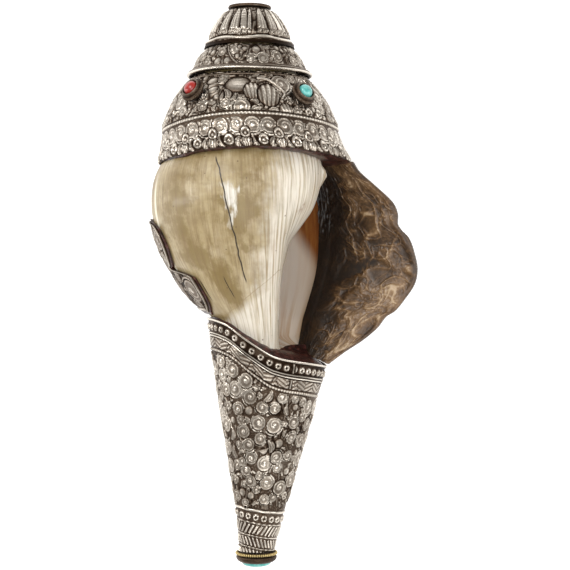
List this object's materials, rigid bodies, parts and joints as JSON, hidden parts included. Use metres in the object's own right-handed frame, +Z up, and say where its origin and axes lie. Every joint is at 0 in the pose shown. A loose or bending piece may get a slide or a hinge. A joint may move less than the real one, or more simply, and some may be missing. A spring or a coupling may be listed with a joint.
{
  "type": "silver-mounted conch shell trumpet",
  "caption": "Conch shell trumpet in repousse silver mounts, with a stone-set cap and mouthpiece on the spire, a long tapering sheath on the canal and a broad wing flaring from the lip.",
  "frame": {"origin": "on the floor, under the middle of the trumpet's outline", "axes": "+Z up, +Y along the trumpet towards the mouthpiece, +X towards the wing"},
  "size_m": [0.1404, 0.2922, 0.1014],
  "materials": {
    "shell": "weathered natural shell, cream and olive tan, softly polished",
    "silver": "hammered repousse silver with dark tarnish in the recesses",
    "gilt_wire": "worn gilt beaded wire",
    "lac": "dark red-brown lac",
    "brown_skin": "crumpled dark brown skin over lac, slightly glossy",
    "coral": "polished red coral",
    "turquoise": "polished green-blue turquoise"
  },
  "bodies": {
    "root": {"conch_shell": "shell", "mouthpiece": "silver", "crown": "silver", "scroll_collar": "silver", "skirt": "silver", "coral_bezel": "silver", "turquoise_bezel": "silver", "back_bezel": "silver", "coral": "coral", "turquoise": "turquoise", "back_turquoise": "turquoise", "cap_resin": "lac", "wing_lining": "brown_skin", "wing_sheet": "silver", "back_panel": "silver", "panel_resin": "lac", "cone": "silver", "cone_resin": "lac", "tip_bead_ring": "gilt_wire", "tip_cup": "silver", "tip_turquoise": "turquoise"}
  },
  "joints": []
}
